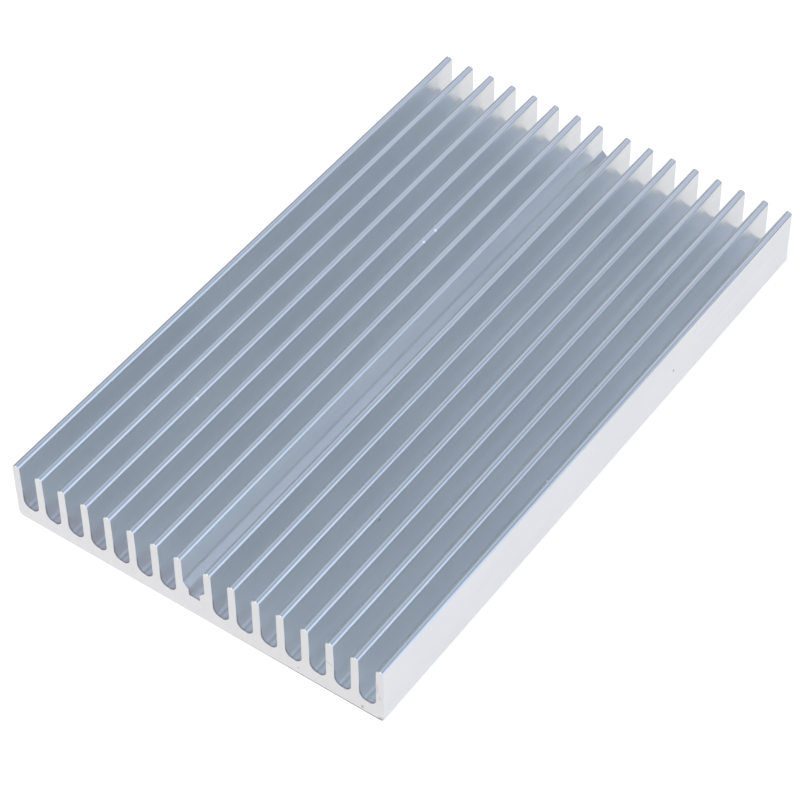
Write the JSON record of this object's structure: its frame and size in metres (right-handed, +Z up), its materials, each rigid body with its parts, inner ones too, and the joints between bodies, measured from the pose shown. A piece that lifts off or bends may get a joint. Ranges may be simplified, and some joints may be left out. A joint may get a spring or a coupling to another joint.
{
  "type": "extruded heat sink",
  "caption": "Flat extruded aluminium heat sink: straight fins along its length, round-bottomed slots between them, and a stepped groove channel down the middle.",
  "frame": {"origin": "centre of the flat mounting face under the base", "axes": "+Z up out of the base towards the fin tips, +Y along the extrusion, +X across the fins"},
  "size_m": [0.06, 0.1, 0.01],
  "materials": {
    "heat_sink": "bare mill finish, satin, with fine die lines along the extrusion and saw-cut ends"
  },
  "bodies": {
    "root": {"heat_sink": "heat_sink"}
  },
  "joints": []
}
